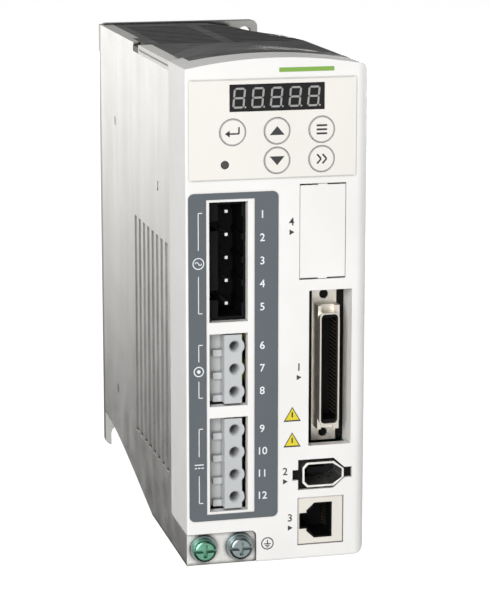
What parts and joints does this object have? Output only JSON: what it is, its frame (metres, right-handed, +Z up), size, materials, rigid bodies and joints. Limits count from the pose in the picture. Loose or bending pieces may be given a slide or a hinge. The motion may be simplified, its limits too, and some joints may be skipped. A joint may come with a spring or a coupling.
{
  "type": "servo drive",
  "caption": "Panel-mounted servo drive: cast heat-sink chassis, white housing, keypad with display, terminal column and signal sockets.",
  "frame": {"origin": "middle of the rear mounting face, which lies on the panel", "axes": "+Z up, +Y into the panel, +X to the right seen from the front"},
  "size_m": [0.06, 0.1527, 0.165],
  "materials": {
    "cast_aluminium": "bead-blasted die casting, satin",
    "shell_plastic": "fine moulded texture, off-white",
    "cover_plastic": "fine moulded texture, white",
    "vent_plastic": "dark moulded plastic, slight sheen",
    "key_film": "printed polyester film, matt",
    "slate_film": "printed polyester film, matt slate grey",
    "lens_plastic": "smoked acrylic",
    "black_plastic": "moulded nylon, black",
    "grey_plastic": "moulded nylon, light grey",
    "ivory_plastic": "moulded nylon, ivory",
    "light_pipe": "dark translucent light guide",
    "tinned_metal": "tin plated",
    "nickel_steel": "nickel plated sheet steel",
    "zinc_sheet": "zinc plated sheet steel",
    "gold_contact": "gold flashed contact",
    "zinc_screw": "blue zinc plated",
    "green_screw": "green passivated zinc",
    "board_laminate": "green solder mask",
    "thermal_rubber": "silicone pad",
    "capacitor_sleeve": "shrunk vinyl sleeve",
    "component_plastic": "epoxy case",
    "ferrite": "sintered ferrite"
  },
  "bodies": {
    "chassis": {"heatsink_chassis": "cast_aluminium", "housing_shell": "shell_plastic", "front_cover": "cover_plastic", "top_grille": "vent_plastic", "rail_clip": "vent_plastic", "side_screws": "zinc_screw", "keypad_film": "key_film", "terminal_film": "slate_film", "display_lens": "lens_plastic", "display_module": "black_plastic", "display_board": "board_laminate", "display_screws": "zinc_screw", "display_ribbon": "ivory_plastic", "tact_switches": "black_plastic", "status_light": "light_pipe", "mains_header": "black_plastic", "mains_pins": "tinned_metal", "spare_port": "black_plastic", "io_shell": "zinc_sheet", "io_insert": "black_plastic", "io_contacts": "gold_contact", "encoder_shell": "nickel_steel", "encoder_housing": "black_plastic", "bus_jack": "ivory_plastic", "bus_liner": "black_plastic", "bus_contacts": "gold_contact", "board_posts": "grey_plastic", "board_screws": "zinc_screw", "power_board": "board_laminate", "control_board": "board_laminate", "thermal_pad": "thermal_rubber", "power_module": "black_plastic", "rectifier_bridge": "black_plastic", "bulk_capacitors": "capacitor_sleeve", "interference_choke": "ferrite", "film_capacitors": "component_plastic", "supply_transformer": "ferrite", "inrush_relay": "component_plastic", "mains_fuse": "component_plastic", "filter_capacitors": "capacitor_sleeve", "board_link": "black_plastic", "control_chips": "black_plastic", "motor_header": "grey_plastic", "motor_pins": "tinned_metal", "brake_header": "grey_plastic", "brake_pins": "tinned_metal"},
    "key_enter": {"key_enter": "key_film"},
    "key_up": {"key_up": "key_film"},
    "key_down": {"key_down": "key_film"},
    "key_mode": {"key_mode": "key_film"},
    "key_shift": {"key_shift": "key_film"},
    "motor_plug": {"motor_plug": "grey_plastic", "motor_clamps": "tinned_metal"},
    "brake_plug": {"brake_plug": "grey_plastic", "brake_clamps": "tinned_metal"},
    "blank_cover": {"blank_cover": "cover_plastic"},
    "earth_washer_left": {"earth_washer_left": "zinc_screw"},
    "earth_screw_left": {"earth_screw_left": "green_screw"},
    "earth_washer_right": {"earth_washer_right": "zinc_screw"},
    "earth_screw_right": {"earth_screw_right": "zinc_screw"}
  },
  "joints": [
    {"name": "key_enter_press", "type": "slide", "parent": "chassis", "child": "key_enter", "axis": [0, 1, 0], "range_m": [0, 0.00035], "stiffness_N_per_m": 2000, "springref_m": -0.0003},
    {"name": "key_up_press", "type": "slide", "parent": "chassis", "child": "key_up", "axis": [0, 1, 0], "range_m": [0, 0.00035], "stiffness_N_per_m": 2000, "springref_m": -0.0003},
    {"name": "key_down_press", "type": "slide", "parent": "chassis", "child": "key_down", "axis": [0, 1, 0], "range_m": [0, 0.00035], "stiffness_N_per_m": 2000, "springref_m": -0.0003},
    {"name": "key_mode_press", "type": "slide", "parent": "chassis", "child": "key_mode", "axis": [0, 1, 0], "range_m": [0, 0.00035], "stiffness_N_per_m": 2000, "springref_m": -0.0003},
    {"name": "key_shift_press", "type": "slide", "parent": "chassis", "child": "key_shift", "axis": [0, 1, 0], "range_m": [0, 0.00035], "stiffness_N_per_m": 2000, "springref_m": -0.0003},
    {"name": "motor_plug_pull", "type": "slide", "parent": "chassis", "child": "motor_plug", "axis": [0, -1, 0], "range_m": [0, 0.015]},
    {"name": "brake_plug_pull", "type": "slide", "parent": "chassis", "child": "brake_plug", "axis": [0, -1, 0], "range_m": [0, 0.015]},
    {"name": "blank_cover_pull", "type": "slide", "parent": "chassis", "child": "blank_cover", "axis": [0, -1, 0], "range_m": [0, 0.01]},
    {"name": "earth_screw_left_lift", "type": "slide", "parent": "chassis", "child": "earth_washer_left", "axis": [0, -1, 0], "range_m": [0, 0.0035]},
    {"name": "earth_screw_left_turn", "type": "hinge", "parent": "earth_washer_left", "child": "earth_screw_left", "pos_m": [-0.0245, -0.15, -0.0754], "axis": [0, -1, 0], "range_deg": [0, 1801]},
    {"name": "earth_screw_right_lift", "type": "slide", "parent": "chassis", "child": "earth_washer_right", "axis": [0, -1, 0], "range_m": [0, 0.0035]},
    {"name": "earth_screw_right_turn", "type": "hinge", "parent": "earth_washer_right", "child": "earth_screw_right", "pos_m": [-0.0125, -0.15, -0.0754], "axis": [0, -1, 0], "range_deg": [0, 1801]}
  ],
  "couplings": [
    {"joint": "earth_screw_left_turn", "follows": "earth_screw_left_lift", "rad_per_m": 8976},
    {"joint": "earth_screw_right_turn", "follows": "earth_screw_right_lift", "rad_per_m": 8976}
  ]
}
